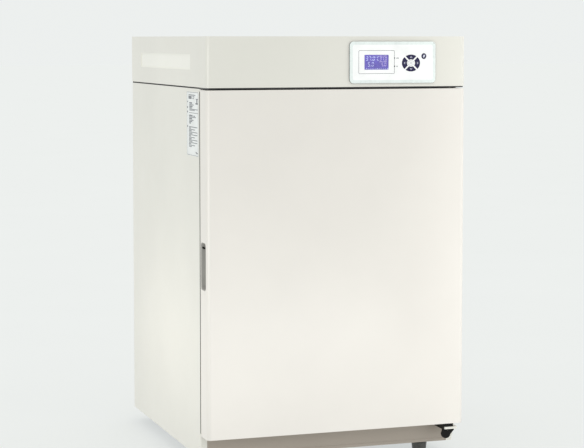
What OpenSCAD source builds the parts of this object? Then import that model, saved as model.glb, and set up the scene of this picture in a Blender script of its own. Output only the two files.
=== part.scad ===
// Laboratory incubator: a sheet metal cabinet on four levelling feet, with a heated and fan-stirred
// steel chamber behind an inner glass door and a thick outer door, and a control head on top.
// The origin is on the floor, at the centre of the outline. The front faces -y and height is +z.

/* [Cabinet] */
// Width of the outer door and the control head
width = 590; // [570:2:620]
// Depth of the cabinet behind the outer door
cabinet_depth = 600; // [580:5:640]
// Height of the cabinet from its bottom edge to the seam under the head
cabinet_height = 796.5; // [796.5:0.5:840]
// Thickness of the painted steel sheet
sheet = 1.5; // [1:0.1:1.8]
// Height of the cabinet's bottom edge above the floor
foot_height = 32; // [28:1:44]
// Half the distance between the left and the right feet
foot_x = 236; // [200:2:250]

/* [Control head] */
// Height of the head above the seam
head_height = 108.5; // [106:0.5:130]
// Open seam between the head and the door
seam = 3; // [2.5:0.5:4]
// Depth of the long recess in each side of the head
inlay_depth = 1.5; // [1:0.5:3.5]

/* [Outer door] */
// Thickness of the outer door
door_thickness = 52; // [50:1:58]
// Gap between the outer door and the cabinet, filled by the gasket
door_gap = 6; // [6:0.5:8]
// Height of the door's bottom edge above the cabinet's bottom edge
door_lift = 51; // [48:1:56]
// Radius of the upright front corners of the door and the head
front_corner = 9; // [5:1:12]

/* [Chamber] */
// Width inside the chamber
chamber_w = 400; // [396:2:410]
// Depth inside the chamber
chamber_d = 418; // [410:2:430]
// Height inside the chamber
chamber_h = 500; // [490:5:510]
// Height of the chamber's floor above the cabinet's bottom edge
chamber_lift = 168; // [165:1:172]
// Diameter of the access port through the rear wall
port_bore = 50; // [40:1:52]

/* [Control panel] */
// Width of the raised control bezel
bezel_w = 200; // [196:1:206]
// Height of the raised control bezel
bezel_h = 90; // [88:1:94]
// Width of the bezel's rim around the white film
bezel_rim = 7; // [5:0.5:9]
// How far the bezel stands out of the head
bezel_proud = 3.5; // [3:0.1:3.8]
// Travel of each key
key_travel = 0.6; // [0.4:0.1:0.7]

/* [Hidden] */
$fn = 48;
key_proud = 0.5;
rear_reach = 26;
panel_reach = bezel_proud + key_proud;
front_y = -(door_thickness + door_gap + cabinet_depth + rear_reach - panel_reach) / 2;
door_back = front_y + door_thickness;
cab_front = door_back + door_gap;
cab_back = cab_front + cabinet_depth;
rear_tip = cab_back + rear_reach;
cab_bottom = foot_height;
cab_top = cab_bottom + cabinet_height;
head_bottom = cab_top + seam;
head_top = head_bottom + head_height;
door_bottom = cab_bottom + door_lift;
door_top = cab_top - 2;
side_x = width / 2 - 0.5;
flange = 15;
floor_step = 2.5;

// Chamber and the rebate that the glass door closes into
steel = 1.2;
rebate = 22;
ch_front = cab_front + rebate;
ch_back = ch_front + chamber_d;
ch_z = cab_bottom + chamber_lift;
ch_mid = ch_z + chamber_h / 2;
mouth_w = chamber_w + 76;
mouth_h = chamber_h + 76;
wool = 45;
chamber_r = 12;
liner_size = [chamber_w + 2 * steel, chamber_h + 2 * steel];
duct_y = ch_back - 30;
fan_y = duct_y + 6;
shaft_r = 4;
running = 0.05;
motor_y = ch_back + steel + wool;
shaft_end = motor_y + 50;
port = [120, ch_mid + 170];
port_wall = 2.5;
probe = [-120, ch_mid + 190];
sensor = [-120, ch_mid + 150];

// Outer door and its hinge
hinge = [width / 2 - 18, front_y + 22];
pin_r = 5;
bracket_z = door_bottom - 14;
bracket_t = 5;
pull = [36, 100];
pull_y = front_y + 29;
pull_z = cab_bottom + 420;
gasket_gap = 0.3;
door_mid = (door_bottom + door_top) / 2;
door_h = door_top - door_bottom;
bush_r = 8;
bush_h = 20;

// Glass door and its hinge
glass_y = ch_front - 10;
glass_t = 5;
glass_w = mouth_w - 26;
glass_h = mouth_h - 12;
glass_x = -3;
glass_hinge = [glass_x + glass_w / 2 + 8, glass_y - 6];
glass_hinge_z = [ch_mid - 190, ch_mid + 190];
knuckle_r = 4;
knuckle_h = 24;
glass_pin_r = 2;

// Shelves
shelf_w = chamber_w - 16;
shelf_y = ch_front + 24;
shelf_d = duct_y - 20 - shelf_y;
shelf_t = 1.5;
shelf_z = [ch_mid - 80, ch_mid + 90];
shelf_gap = 0.3;
rail_in = chamber_w / 2 - 16;

// Control panel
panel = [123.5, head_bottom + 52.5];
field = [bezel_w - 2 * bezel_rim, bezel_h - 2 * bezel_rim];
lcd = [85.3, panel[1] + 0.3];
lcd_size = [56, 32];
pad = [165.4, panel[1] - 1.7];
pad_r = [21, 18];
hub_r = [9.9, 8.2];
oval_r = [8.4, 5];
key_gap = 4;
power = [195.5, panel[1] + 13.2];
power_r = [5.5, 6];
led_x = 127;
led_z = [panel[1] - 8.5, panel[1] + 9.2];
overlay_t = 1;
key_y = front_y - panel_reach;
key_slack = 0.35;
key_depth = 4.5;

// Sides and rear of the head
inlay_y = [front_y + 128, front_y + 565];
inlay_z = [head_bottom + 36.5, head_bottom + 70];
entry = [200, head_bottom + 48];
entry_size = [60, 32];
rocker_x = entry[0] + 17;
socket_x = entry[0] - 12;
gas = [-200, head_bottom + 48];
gas_r = 4;

// Screws of the rear panels, which pass through the sheet behind them
screw_r = 1.5;
screw_head_r = 3.5;
rear_screw_x = side_x - 9;
head_screw_x = width / 2 - 14;
head_screw_z = [head_bottom + 12, head_top - 14];

// Feet
foot_y = [front_y + 110, cab_back - 50];
stud_r = 5;
foot_gap = 0.3;

paint = [0.93, 0.92, 0.88];
stainless = [0.74, 0.75, 0.76];
black = [0.1, 0.1, 0.11];
navy = [0.13, 0.13, 0.3];

// ---- Shape helpers ----

// A block between two corners
module block(low, high) {
    translate(low) cube(high - low);
}

// A flat outline in x and z, made solid from y0 back to y1
module slab_y(y0, y1) {
    translate([0, y1, 0]) rotate([90, 0, 0]) linear_extrude(y1 - y0) children();
}

// A flat outline in y and z, made solid from x0 to x1
module slab_x(x0, x1) {
    translate([x0, 0, 0]) rotate([90, 0, 90]) linear_extrude(x1 - x0) children();
}

// A flat outline in x and y, made solid from z0 up to z1
module slab_z(z0, z1) {
    translate([0, 0, z0]) linear_extrude(z1 - z0) children();
}

// A rectangle with round corners about a centre
module rounded(size, r, at = [0, 0]) {
    translate(at) {
        square([size[0] - 2 * r, size[1]], center = true);
        square([size[0], size[1] - 2 * r], center = true);
        for (x = [-1, 1], y = [-1, 1])
            translate([x * (size[0] / 2 - r), y * (size[1] / 2 - r)]) circle(r);
    }
}

// A flat ring between two round-cornered rectangles
module ring(outer, inner, r_outer, r_inner, at = [0, 0]) {
    difference() {
        rounded(outer, r_outer, at);
        rounded(inner, r_inner, at);
    }
}

// An outline in plan from y0 back to y1, with its own radius on the front and the back corners
module plan(w, y0, y1, r_front, r_back) {
    translate([-w / 2, y0 + r_front]) square([w, y1 - y0 - r_front - r_back]);
    translate([-w / 2 + r_front, y0]) square([w - 2 * r_front, y1 - y0 - r_back]);
    translate([-w / 2 + r_back, y1 - 2 * r_back]) square([w - 2 * r_back, 2 * r_back]);
    for (x = [-1, 1]) {
        translate([x * (w / 2 - r_front), y0 + r_front]) circle(r_front);
        translate([x * (w / 2 - r_back), y1 - r_back]) circle(r_back);
    }
}

// An upright cylinder from z0 up to z1
module post(at, r, z0, z1) {
    translate([at[0], at[1], z0]) cylinder(h = z1 - z0, r = r);
}

// A cylinder along y, about a point in x and z
module rod_y(at, r, y0, y1, r_end = 0) {
    translate([at[0], y0, at[1]]) rotate([-90, 0, 0])
        cylinder(h = y1 - y0, r1 = r, r2 = r_end > 0 ? r_end : r);
}

module ellipse(r, at = [0, 0]) {
    translate(at) polygon([for (i = [0:59]) [r[0] * cos(6 * i), r[1] * sin(6 * i)]]);
}

// ---- Cabinet ----

function rear_screw_spots() = [
    for (x = [-1, 1], i = [0:3]) [x * rear_screw_x, cab_bottom + 40 + i * (cabinet_height - 80) / 3]
];

function head_screw_spots() = [
    for (x = [-1, 1], z = head_screw_z) [x * head_screw_x, z]
];

module screw_holes(spots) {
    for (at = spots) rod_y(at, screw_r + running, cab_back - 10, cab_back + 1);
}

// A side panel with a bent flange at the front and the back, on the +x side
module side_skin() {
    y1 = cab_back - sheet;
    bend = 3;
    difference() {
        slab_z(cab_bottom, cab_top) intersection() {
            difference() {
                plan(2 * side_x, cab_front, y1, bend, bend);
                plan(2 * (side_x - sheet), cab_front + sheet, y1 - sheet, bend - sheet, bend - sheet);
            }
            translate([side_x - flange, cab_front]) square([flange, cabinet_depth]);
        }
        screw_holes(rear_screw_spots());
    }
}

module right_side_panel() {
    color(paint) side_skin();
}

module left_side_panel() {
    color(paint) mirror([1, 0, 0]) side_skin();
}

module rear_panel() {
    size = [2 * side_x - 6, cabinet_height - 8];
    color(paint) difference() {
        slab_y(cab_back - sheet, cab_back)
            rounded(size, 4, [0, cab_bottom + cabinet_height / 2]);
        screw_holes(rear_screw_spots());
        rod_y(port, port_bore / 2 + port_wall, cab_back - 5, cab_back + 5);
        for (x = [-150:30:0], z = [0:14:70])
            translate([x, cab_back - 5, cab_bottom + 40 + z]) cube([20, 10, 5]);
    }
}

module base_pan() {
    color(stainless) difference() {
        union() {
            block([-side_x + sheet, cab_front + sheet, cab_bottom],
                  [side_x - sheet, cab_back - 2 * sheet, cab_bottom + sheet]);
            for (x = [-1, 1], y = foot_y) post([x * foot_x, y], 11, cab_bottom, cab_bottom + 18);
        }
        for (x = [-1, 1], y = foot_y)
            post([x * foot_x, y], stud_r + running, cab_bottom - 1, cab_bottom + 20);
    }
}

module kick_panel() {
    x = side_x - flange;
    lip = cab_bottom + 7;
    color(paint) difference() {
        block([-x, cab_front, cab_bottom], [x, cab_front + sheet, door_bottom]);
        block([-x - 1, cab_front - 1, lip], [x + 1, cab_front + 0.5, lip + 0.8]);
    }
}

module top_deck() {
    color(stainless)
        block([-side_x + sheet, cab_front + sheet, cab_top - 1],
              [side_x - sheet, cab_back - 2 * sheet, cab_top + 0.5]);
}

module front_frame() {
    x = side_x - flange;
    r = 12;
    color(paint) {
        slab_y(cab_front, cab_front + sheet) difference() {
            translate([-x, door_bottom]) square([2 * x, cab_top - door_bottom]);
            rounded([mouth_w, mouth_h], r, [0, ch_mid]);
        }
        slab_y(cab_front, ch_front)
            ring([mouth_w + 2 * sheet, mouth_h + 2 * sheet], [mouth_w, mouth_h],
                 r + sheet, r, [0, ch_mid]);
    }
}

// ---- Chamber ----

module chamber_liner() {
    color(stainless) {
        slab_y(ch_front, ch_back + steel)
            ring(liner_size, [chamber_w, chamber_h], chamber_r + steel, chamber_r, [0, ch_mid]);
        slab_y(ch_front, ch_front + steel)
            ring([mouth_w, mouth_h], [chamber_w, chamber_h], 12, chamber_r, [0, ch_mid]);
        difference() {
            slab_y(ch_back, ch_back + steel) rounded(liner_size, chamber_r + steel, [0, ch_mid]);
            rod_y([0, ch_mid], shaft_r + 3, ch_back - 5, ch_back + 5);
            rod_y(port, port_bore / 2 + port_wall, ch_back - 5, ch_back + 5);
            rod_y(probe, 3, ch_back - 5, ch_back + 5);
            rod_y(sensor, 6, ch_back - 5, ch_back + 5);
        }
    }
}

module chamber_gasket() {
    inner = [chamber_w + 10, chamber_h + 10];
    color(black) slab_y(glass_y + glass_t + gasket_gap, ch_front)
        ring(inner + [24, 24], inner, 37, 25, [0, ch_mid]);
}

module insulation() {
    y1 = ch_back + steel + wool;
    color([0.9, 0.85, 0.6]) {
        slab_y(ch_front + steel, ch_back + steel)
            ring(liner_size + [2 * wool, 2 * wool], liner_size, 12, chamber_r + steel, [0, ch_mid]);
        difference() {
            slab_y(ch_back + steel, y1) rounded(liner_size + [2 * wool, 2 * wool], 12, [0, ch_mid]);
            rod_y([0, ch_mid], shaft_r + 8, ch_back - 5, y1 + 5);
            rod_y(port, port_bore / 2 + port_wall, ch_back - 5, y1 + 5);
            rod_y(probe, 3, ch_back - 5, y1 + 5);
            rod_y(sensor, 6, ch_back - 5, y1 + 5);
        }
    }
}

// A channel rail that holds one edge of a shelf, on the +x side
module rail(z) {
    low = z - shelf_gap;
    high = z + shelf_t + shelf_gap;
    y0 = shelf_y - 2;
    y1 = duct_y - 4;
    block([rail_in, y0, low - steel], [chamber_w / 2, y1, low]);
    block([rail_in, y0, high], [chamber_w / 2, y1, high + steel]);
    block([chamber_w / 2 - 3, y0, low], [chamber_w / 2, y1, high]);
}

module shelf_rails() {
    color(stainless) for (side = [0, 1], z = shelf_z) mirror([side, 0, 0]) rail(z);
}

module duct_cover() {
    size = [chamber_w - 1, chamber_h - 1];
    color(stainless) difference() {
        slab_y(duct_y, duct_y + steel) rounded(size, chamber_r - 0.5, [0, ch_mid]);
        rod_y(port, port_bore / 2 + port_wall, duct_y - 5, duct_y + 5);
        rod_y(probe, 3, duct_y - 5, duct_y + 5);
        rod_y(sensor, 11, duct_y - 5, duct_y + 5);
        for (a = [0:30:330])
            translate([0, duct_y - 5, ch_mid]) rotate([0, a, 0]) translate([14, 0, -2.5])
                cube([32, 10, 5]);
        for (i = [-4:4], z = [-1, 1])
            translate([i * 36 - 12, duct_y - 5, ch_mid + z * 225 - 3]) cube([24, 10, 6]);
    }
}

module duct_heater() {
    coil_r = 72;
    wire_r = 3.5;
    y = fan_y + 12;
    color([0.55, 0.45, 0.4]) {
        translate([0, y, ch_mid]) rotate([90, 0, 0])
            rotate_extrude() translate([coil_r, 0]) circle(wire_r);
        for (x = [-1, 1]) rod_y([x * coil_r, ch_mid], wire_r, y, ch_back);
    }
}

module fan_impeller() {
    centre = [0, ch_mid];
    fan_r = 55;
    blade_y = [fan_y + 1, fan_y + 17];
    color(black) {
        rod_y(centre, 12, fan_y, fan_y + 20);
        rod_y(centre, shaft_r, fan_y, shaft_end);
        rod_y(centre, fan_r, blade_y[1], blade_y[1] + 1.5);
        for (a = [0:30:330])
            translate([0, 0, ch_mid]) rotate([0, a, 0]) translate([30, 0, 0]) rotate([0, 35, 0])
                block([-6, blade_y[0], -0.8], [22, blade_y[1] + 0.8, 0.8]);
    }
}

module fan_motor() {
    centre = [0, ch_mid];
    plate_t = 3;
    color([0.5, 0.51, 0.53]) difference() {
        union() {
            slab_y(motor_y, motor_y + plate_t) rounded([110, 110], 10, centre);
            rod_y(centre, 38, motor_y, motor_y + 62);
            rod_y(centre, 14, motor_y + 62, motor_y + 66);
        }
        rod_y(centre, shaft_r + running, motor_y - 1, shaft_end + 2);
    }
}

module temperature_probe() {
    y0 = duct_y - 60;
    color(stainless) {
        rod_y(probe, 3, y0, ch_back + steel + wool + 6);
        translate([probe[0], y0, probe[1]]) sphere(3);
        rod_y(probe, 8, duct_y - 5, duct_y);
    }
}

module co2_sensor() {
    y0 = duct_y - 34;
    color([0.8, 0.8, 0.78]) {
        difference() {
            rod_y(sensor, 11, y0, ch_back);
            rod_y(sensor, 8, y0 - 1, y0 + 12);
        }
        rod_y(sensor, 6, ch_back, ch_back + steel + wool + 10);
        rod_y(sensor, 15, duct_y - 4, duct_y);
    }
}

module port_sleeve() {
    r = port_bore / 2;
    color([0.86, 0.86, 0.84]) difference() {
        union() {
            rod_y(port, r + port_wall, duct_y, cab_back + 1);
            rod_y(port, r + 11, cab_back, cab_back + 3);
        }
        rod_y(port, r, duct_y - 1, cab_back + 4);
    }
}

module port_plug() {
    face = cab_back + 3 + gasket_gap;
    color([0.82, 0.8, 0.76]) {
        rod_y(port, port_bore / 2 - 0.1, face - 62, face);
        rod_y(port, port_bore / 2 + 9, face, face + 9);
        rod_y(port, 16, face + 9, rear_tip, 13);
    }
}

module shelf(z) {
    lip_w = 2 * rail_in - 4;
    lip_h = 10;
    y1 = shelf_y + shelf_d;
    rows = 5;
    pitch_y = (shelf_d - 40) / rows;
    pitch_x = (lip_w - 10) / 11;
    color(stainless) {
        slab_z(z, z + shelf_t) difference() {
            plan(shelf_w, shelf_y, y1, 6, 6);
            for (i = [-5:5], j = [0:rows - 1])
                translate([i * pitch_x, shelf_y + 20 + (j + 0.5) * pitch_y])
                    square([10, pitch_y - 10], center = true);
        }
        for (y = [shelf_y, y1 - shelf_t])
            block([-lip_w / 2, y, z - lip_h], [lip_w / 2, y + shelf_t, z + shelf_t / 2]);
    }
}

module water_pan() {
    size = [344, 320];
    centre = [0, shelf_y + 10 + size[1] / 2];
    z0 = ch_z + shelf_gap;
    h = 26;
    color(stainless) difference() {
        union() {
            slab_z(z0, z0 + h) rounded(size, 14, centre);
            slab_z(z0 + h - 1.2, z0 + h) rounded(size + [12, 12], 20, centre);
        }
        slab_z(z0 + 1.2, z0 + h + 1) rounded(size - [2.4, 2.4], 12.8, centre);
    }
}

// ---- Inner glass door ----

module glass_pane() {
    color([0.75, 0.88, 0.88, 0.4])
        slab_y(glass_y, glass_y + glass_t) rounded([glass_w, glass_h], 8, [glass_x, ch_mid]);
}

module glass_hinge_leaves() {
    leaf_x = [glass_hinge[0] - 32, glass_hinge[0] - 2];
    color(stainless) for (z = glass_hinge_z) difference() {
        union() {
            post(glass_hinge, knuckle_r, z - knuckle_h / 2, z + knuckle_h / 2);
            block([leaf_x[0], glass_y - 3, z - knuckle_h / 2],
                  [leaf_x[1], glass_y, z + knuckle_h / 2]);
        }
        post(glass_hinge, glass_pin_r + running, z - knuckle_h, z + knuckle_h);
    }
}

module glass_hinge_brackets() {
    wall_x = mouth_w / 2;
    y = glass_hinge[1];
    color(stainless) for (z = glass_hinge_z) {
        for (side = [-1, 1]) {
            near = knuckle_h / 2 + gasket_gap;
            far = near + 10;
            low = z + (side > 0 ? near : -far);
            post(glass_hinge, knuckle_r, low, low + 10);
            block([glass_hinge[0], y - 1.5, low], [wall_x, y + 1.5, low + 10]);
        }
        post(glass_hinge, glass_pin_r, z - knuckle_h / 2 - 8, z + knuckle_h / 2 + 8);
        block([wall_x - steel, y - 3, z - 26], [wall_x, y + 12, z + 26]);
    }
}

module glass_door_knob() {
    at = [glass_x - glass_w / 2 + 22, ch_mid];
    color(black) {
        rod_y(at, 12, glass_y - 2, glass_y);
        rod_y(at, 5, glass_y - 7, glass_y - 2);
        rod_y(at, 9, glass_y - 13, glass_y - 7);
    }
}

// ---- Outer door ----

module pull_outline(grow = 0) {
    rounded(pull + 2 * [grow, grow], 8 + grow, [pull_y, pull_z]);
}

module door_shell() {
    color(paint) difference() {
        slab_z(door_bottom, door_top) plan(width, front_y, door_back, front_corner, 1);
        slab_z(door_bottom + sheet, door_top - sheet)
            plan(width - 2 * sheet, front_y + sheet, door_back + 10, front_corner - sheet, 1.5);
        slab_x(-width / 2 - 1, -width / 2 + 5) pull_outline(1);
        for (z = [door_bottom - 1, door_top - sheet - 1]) post(hinge, bush_r, z, z + sheet + 2);
    }
}

module door_inner_panel() {
    size = [width - 2 * sheet - 1, door_h - 2 * sheet - 1];
    color(paint) slab_y(door_back - sheet, door_back) rounded(size, 2, [0, door_mid]);
}

module door_insulation() {
    color([0.9, 0.85, 0.6])
        block([-width / 2 + 33, front_y + sheet, door_bottom + 27],
              [width / 2 - 33, door_back - sheet, door_top - 27]);
}

// The gasket runs close to the door's free edges, and stays inboard of the hinge axis
module door_gasket() {
    edge = 0.3;
    face_w = 22;
    x = [-width / 2 + edge, hinge[0] - 1];
    outer = [x[1] - x[0], door_h - 2 * edge];
    color([0.25, 0.25, 0.26]) slab_y(door_back, cab_front - gasket_gap)
        ring(outer, outer - 2 * [face_w, face_w], 6, 4, [(x[0] + x[1]) / 2, door_mid]);
}

module door_pull_cup() {
    wall = 1.5;
    x0 = -width / 2;
    depth = 26;
    color([0.62, 0.62, 0.6]) {
        difference() {
            union() {
                slab_x(x0, x0 + 4) pull_outline(1);
                slab_x(x0 + sheet, x0 + depth) pull_outline(wall);
            }
            slab_x(x0 - 1, x0 + depth - wall) pull_outline();
        }
        translate([x0 + depth - wall - 2, pull_y + 6, pull_z + 34]) rotate([0, 90, 0])
            cylinder(h = 2, r = 3.5);
    }
}

module door_hinge_bushes() {
    color([0.7, 0.6, 0.3]) for (z = [door_bottom, door_top - bush_h]) difference() {
        post(hinge, bush_r, z, z + bush_h);
        post(hinge, pin_r + running, z - 1, z + bush_h + 1);
    }
}

module door_hinge_brackets() {
    x = [hinge[0] - 23, hinge[0] + 7];
    y0 = hinge[1] - 16;
    corner = 3;
    wall_x = [hinge[0] - 5, hinge[0] + 17];
    top = head_bottom + sheet;
    color(paint) {
        slab_z(bracket_z, bracket_z + bracket_t) difference() {
            union() {
                translate([x[0], y0 + corner]) square([x[1] - x[0], cab_front - y0 - corner]);
                translate([x[0] + corner, y0]) square([x[1] - x[0] - 2 * corner, 2 * corner]);
                for (cx = [x[0] + corner, x[1] - corner])
                    translate([cx, y0 + corner]) circle(corner);
            }
            translate(hinge) circle(pin_r);
        }
        block([wall_x[0], cab_front - 3, cab_bottom + 12], [wall_x[1], cab_front, bracket_z]);
        post(hinge, pin_r, bracket_z, door_bottom + 17);
        block([hinge[0] - 22, hinge[1] - 12, top], [hinge[0] + 12, hinge[1] + 60, top + 4]);
        post(hinge, pin_r, door_top - 17, top);
    }
}

// The bearing block that carries the door, and the round cap of the adjusting screw below the bracket
module hinge_caps() {
    cap = [hinge[0] - 14.3, bracket_z - 12.8];
    cap_r = 10.4;
    arm = [[-7, 12.8], [19, 12.8], [18.6, 8], [10.3, -1], [0, 0], [-9, 4]];
    y = [hinge[1] - 14, cab_front - 1];
    top = door_bottom - gasket_gap;
    color(black) {
        difference() {
            block([hinge[0] - 23.5, y[0], bracket_z + bracket_t], [hinge[0] + 7, y[1], top]);
            post(hinge, pin_r, bracket_z, door_bottom);
        }
        block([hinge[0] - 25, y[0], bracket_z - 1], [hinge[0] - 23.2, y[1], top]);
        slab_y(hinge[1] - 6, hinge[1] + 2) translate(cap) {
            circle(cap_r);
            polygon(arm);
        }
    }
}

// ---- Control head ----

module inlay_outline(shrink = 0) {
    translate([inlay_y[0] + shrink, inlay_z[0] + shrink])
        square([inlay_y[1] - inlay_y[0] - 2 * shrink, inlay_z[1] - inlay_z[0] - 2 * shrink]);
}

// The cover is one bent sheet, with four tabs that the rear panel is screwed to
module head_cover() {
    window = [bezel_w - 32, bezel_h - 26];
    tab = [22, sheet, 16];
    color(paint) difference() {
        union() {
            difference() {
                slab_z(head_bottom, head_top) plan(width, front_y, cab_back, front_corner, 2);
                slab_z(head_bottom - 1, head_top - sheet)
                    plan(width - 2 * sheet, front_y + sheet, cab_back + 10, front_corner - sheet, 1);
                slab_y(front_y - 5, front_y + 5) rounded(window, 4, panel);
                slab_x(-width, width) inlay_outline();
            }
            for (side = [0, 1], z = head_screw_z) mirror([side, 0, 0])
                translate([width / 2 - sheet / 2 - tab[0], cab_back - 2 * sheet, z - tab[2] / 2])
                    cube(tab);
        }
        screw_holes(head_screw_spots());
    }
}

module head_side_inlays() {
    color([0.96, 0.95, 0.9]) for (side = [0, 1]) mirror([side, 0, 0]) difference() {
        slab_x(width / 2 - inlay_depth - sheet, width / 2) inlay_outline();
        slab_x(width / 2 - inlay_depth, width / 2 + 1) inlay_outline(1.2);
    }
}

module head_floor() {
    inset = 2;
    rim = 45;
    pin_hole = pin_r + 1;
    z0 = head_bottom - floor_step;
    color(stainless) difference() {
        union() {
            slab_z(z0, head_bottom) difference() {
                plan(width - 2 * inset, front_y + inset, cab_back - inset, front_corner - inset, 2);
                plan(width - 2 * inset - 2 * rim, front_y + inset + rim, cab_back - inset - rim, 4, 2);
            }
            slab_z(head_bottom, head_bottom + sheet)
                plan(width - 2 * sheet, front_y + sheet, cab_back - sheet, front_corner - sheet, 1);
        }
        post(hinge, pin_hole, z0 - 1, head_bottom + sheet + 1);
    }
}

module head_rear_panel() {
    z = [head_bottom + sheet, head_top - sheet];
    x = width / 2 - sheet;
    color(paint) difference() {
        slab_y(cab_back - sheet, cab_back) translate([-x, z[0]]) square([2 * x, z[1] - z[0]]);
        slab_y(cab_back - 5, cab_back + 5) rounded(entry_size - [6, 6], 2, entry);
        rod_y(gas, 6, cab_back - 5, cab_back + 5);
        screw_holes(head_screw_spots());
        for (i = [0:7], j = [0:3])
            translate([-130 + i * 30, cab_back - 5, head_bottom + 26 + j * 14]) cube([20, 10, 5]);
    }
}

module power_entry_module() {
    y = cab_back;
    wall = 2;
    socket = [26, 19];
    rocker = [13.6, 22];
    color(black) {
        difference() {
            union() {
                slab_y(y, y + 3) rounded(entry_size, 3, entry);
                slab_y(y - 30, y) rounded(entry_size - [6, 6], 2, entry);
            }
            slab_y(y - 17, y + 4) rounded(socket, 3, [socket_x, entry[1]]);
            slab_y(y - 22, y + 4) rounded(rocker, 0.5, [rocker_x, entry[1]]);
            translate([rocker_x - 9, y - 3, entry[1]]) rotate([0, 90, 0])
                cylinder(h = 18, r = 1.5 + running);
        }
        for (pin = [[-7, -3], [7, -3], [0, 3]])
            translate([socket_x + pin[0], y - 10, entry[1] + pin[1]])
                cube([2, 16, 5], center = true);
    }
}

// The rocker is modelled switched on, its lower half pressed in
module rocker_switch() {
    w = 13;
    tilt = 9;
    translate([rocker_x, cab_back - 3, entry[1]]) rotate([tilt, 0, 0]) color(black) {
        slab_x(-w / 2, w / 2)
            polygon([[-8, -3], [-8, 3], [1.5, 10.2], [5.2, 10.2], [3.6, 0], [5.2, -10.2],
                     [1.5, -10.2]]);
        translate([-8.5, 0, 0]) rotate([0, 90, 0]) cylinder(h = 17, r = 1.5);
    }
}

module gas_inlet() {
    lead = 1.5;
    color([0.75, 0.62, 0.32]) {
        translate([gas[0], cab_back, gas[1]]) rotate([-90, 0, 0]) cylinder(h = 6, r = 9, $fn = 6);
        rod_y(gas, 6, cab_back - 16, cab_back);
        rod_y(gas, gas_r, cab_back, rear_tip - lead);
        rod_y(gas, gas_r, rear_tip - lead, rear_tip, gas_r - 1);
    }
}

// A cross-recess screw whose head lies on the face at y
module screw_y(at, y) {
    r = screw_head_r;
    head_h = 2;
    shank = 8;
    slot = 0.9;
    difference() {
        rod_y(at, r, y, y + head_h, r - 0.8);
        for (size = [[r, head_h, slot], [slot, head_h, r]])
            translate([at[0], y + head_h / 2 + 0.4, at[1]]) cube(size, center = true);
    }
    rod_y(at, screw_r, y - shank, y);
}

module screws() {
    color(stainless) {
        for (at = rear_screw_spots()) screw_y(at, cab_back);
        for (at = head_screw_spots()) screw_y(at, cab_back);
    }
}

module side_label() {
    size = [91, 138];
    color([0.94, 0.95, 0.97]) slab_x(-side_x - 0.3, -side_x)
        rounded(size, 3, [front_y + 110.5, cab_bottom + 720]);
}

// ---- Control panel ----

// One quarter of the round key pad, turned from the top position
module arrow_outline(turn, grow = 0) {
    far = 40;
    shift = (key_gap / 2 - grow) * sqrt(2);
    translate(pad) difference() {
        intersection() {
            ellipse(pad_r + [grow, grow]);
            rotate(turn) translate([0, shift]) polygon([[0, 0], [far, far], [-far, far]]);
        }
        ellipse(hub_r - [grow, grow]);
    }
}

module key_outlines(grow) {
    for (turn = [0:90:270]) arrow_outline(turn, grow);
    ellipse(oval_r + [grow, grow], pad);
    ellipse(power_r + [grow, grow], power);
}

module control_bezel() {
    back = front_y;
    pocket_y = back - bezel_proud + overlay_t + 0.1;
    color([0.86, 0.93, 0.92]) difference() {
        slab_y(back - bezel_proud, back) rounded([bezel_w, bezel_h], 9, panel);
        slab_y(back - 10, pocket_y) rounded(field, 5, panel);
        slab_y(back - 10, back + 1) {
            rounded(lcd_size, 1, lcd);
            key_outlines(key_slack);
            for (z = led_z) translate([led_x, z]) circle(1.5);
        }
    }
}

module control_overlay() {
    y0 = front_y - bezel_proud + 0.1;
    color("white") slab_y(y0, y0 + overlay_t) difference() {
        rounded(field, 5, panel);
        rounded(lcd_size, 1, lcd);
        key_outlines(key_slack);
        for (z = led_z) translate([led_x, z]) circle(1.5);
    }
}

module lcd_window() {
    y0 = front_y - bezel_proud + 0.1;
    color([0.5, 0.45, 0.8, 0.5]) slab_y(y0, y0 + 1.4) rounded(lcd_size, 1, lcd);
}

module lcd_module() {
    y0 = front_y - bezel_proud + 1.5;
    color([0.38, 0.33, 0.72]) {
        slab_y(y0, front_y) rounded(lcd_size - [1, 1], 0.5, lcd);
        slab_y(front_y, front_y + 7) rounded(lcd_size + [9, 12], 1, lcd);
    }
}

module led_lamps() {
    color([0.55, 0.56, 0.6]) for (z = led_z)
        rod_y([led_x, z], 1.5, front_y - bezel_proud, front_y + 5);
}

// The board behind the keys carries one dome switch under each key
module key_board() {
    y0 = front_y + 5;
    dome_y = key_y + key_depth + key_travel + 0.3;
    domes = concat([for (a = [0:90:270]) pad + 13 * [cos(a), sin(a)]], [pad, power]);
    color([0.1, 0.4, 0.25]) {
        slab_y(y0, y0 + 1.6) translate([122, panel[1] - 30]) square([86, 60]);
        for (at = domes) rod_y(at, 2.5, dome_y, y0);
    }
}

module control_board() {
    z = head_bottom + sheet + 8;
    color([0.1, 0.35, 0.2]) {
        block([-180, -160, z], [60, 60, z + 1.6]);
        for (x = [-172, 52], y = [-152, 52]) post([x, y], 3, head_bottom + sheet, z);
        block([-160, -140, z + 1.6], [-90, -70, z + 52]);
        block([-60, -130, z + 1.6], [-20, -60, z + 22]);
        block([0, -120, z + 1.6], [36, -30, z + 30]);
        for (x = [-150:28:10]) post([x, 20], 9, z + 1.6, z + 26);
    }
}

// A key reaches from its face back to its dome switch
module key() {
    color(navy) slab_y(key_y, key_y + key_depth) children();
}

module key_up() { key() arrow_outline(0); }
module key_left() { key() arrow_outline(90); }
module key_down() { key() arrow_outline(180); }
module key_right() { key() arrow_outline(270); }
module key_centre() { key() ellipse(oval_r, pad); }
module key_power() { key() ellipse(power_r, power); }

// ---- Feet ----

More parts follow.
